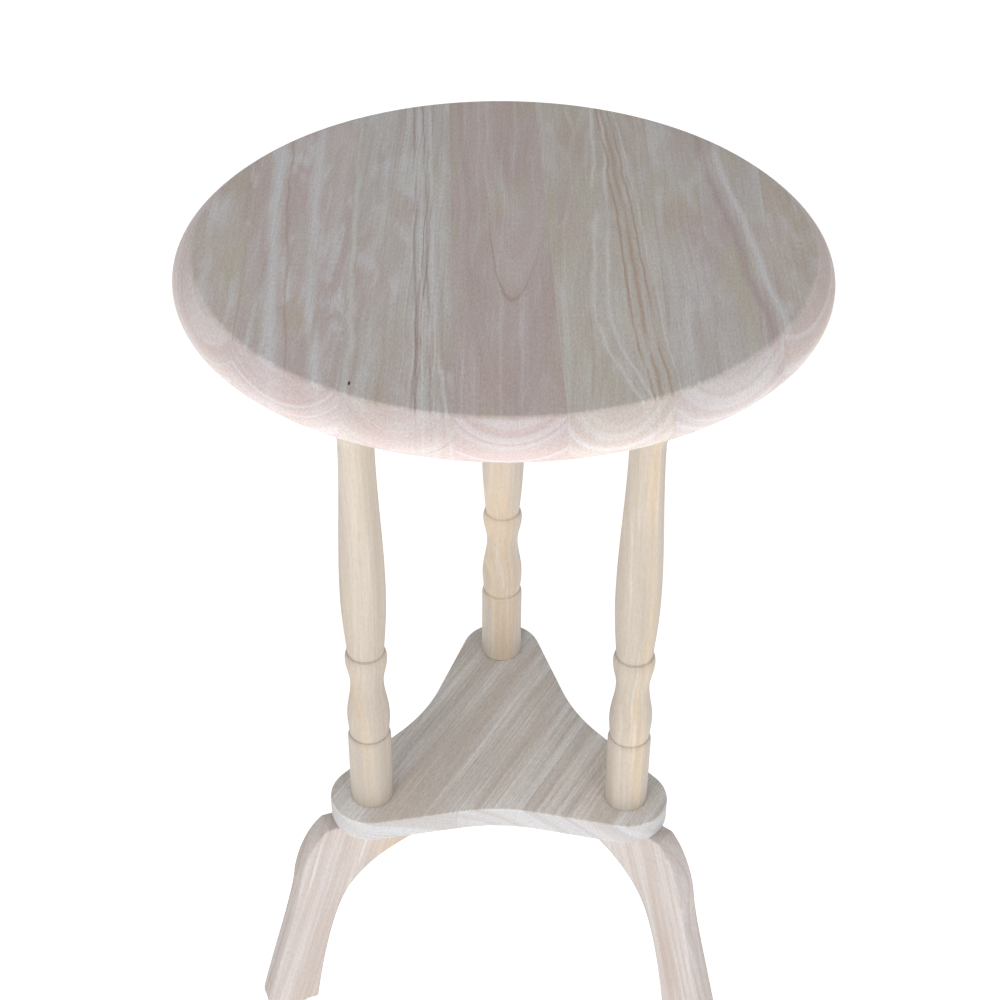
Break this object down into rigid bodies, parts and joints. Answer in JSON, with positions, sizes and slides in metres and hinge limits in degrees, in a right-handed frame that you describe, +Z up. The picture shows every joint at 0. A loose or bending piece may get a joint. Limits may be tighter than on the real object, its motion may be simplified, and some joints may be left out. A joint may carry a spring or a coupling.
{
  "type": "tilt top table",
  "caption": "Small round tilt-top table: the top hinges up from level to vertical on a block over three turned posts, a three-lobed shelf and sawn splayed legs; a spring catch locks it.",
  "frame": {"origin": "on the floor, on the vertical axis of the stand and of the round top", "axes": "+Z up; -Y is the front, the side the top hangs on when it is tilted; +X to the right seen from the front"},
  "size_m": [0.4572, 0.4572, 0.711],
  "materials": {
    "tabletop_wood": "unfinished sanded glued-up boards",
    "spindle_wood": "unfinished turned",
    "shelf_wood": "unfinished sanded",
    "leg_wood": "unfinished sawn and sanded",
    "batten_wood": "unfinished planed",
    "brass": "satin",
    "steel": "zinc plated",
    "glide_plastic": "moulded nylon"
  },
  "bodies": {
    "base": {"shelf": "shelf_wood", "leg_rear": "leg_wood", "leg_front_left": "leg_wood", "leg_front_right": "leg_wood", "leg_dowel_rear": "spindle_wood", "leg_dowel_front_left": "spindle_wood", "leg_dowel_front_right": "spindle_wood", "hanger_bolt_rear": "steel", "hanger_bolt_front_left": "steel", "hanger_bolt_front_right": "steel", "foot_glide_rear": "glide_plastic", "foot_glide_front_left": "glide_plastic", "foot_glide_front_right": "glide_plastic", "spindle_rear": "spindle_wood", "spindle_front_left": "spindle_wood", "spindle_front_right": "spindle_wood", "upper_plate": "shelf_wood", "spindle_screw_rear": "steel", "spindle_screw_front_left": "steel", "spindle_screw_front_right": "steel", "pivot_block": "batten_wood", "block_screw_1": "steel", "block_screw_2": "steel", "block_screw_3": "steel", "block_screw_4": "steel", "strike_plate": "brass", "strike_screw_left": "brass", "strike_screw_right": "brass", "pivot_screw_left": "brass", "pivot_screw_right": "brass", "pivot_washer_left": "brass", "pivot_washer_right": "brass"},
    "top": {"tabletop": "tabletop_wood", "bearer_left": "batten_wood", "bearer_right": "batten_wood", "bearer_screw_left_1": "steel", "bearer_screw_left_2": "steel", "bearer_screw_left_3": "steel", "bearer_screw_right_1": "steel", "bearer_screw_right_2": "steel", "bearer_screw_right_3": "steel", "catch_case": "brass", "catch_screw_1": "brass", "catch_screw_2": "brass", "catch_screw_3": "brass", "catch_screw_4": "brass", "catch_spring": "steel"},
    "catch_bolt": {"catch_bolt": "brass"}
  },
  "joints": [
    {"name": "top_tilt", "type": "hinge", "parent": "base", "child": "top", "pos_m": [0, -0.079, 0.669], "axis": [1, 0, 0], "range_deg": [0, 90]},
    {"name": "catch_slide", "type": "slide", "parent": "top", "child": "catch_bolt", "axis": [0, 1, 0], "range_m": [0, 0.009], "stiffness_N_per_m": 200, "springref_m": -0.004, "deforming": ["catch_spring"]}
  ]
}
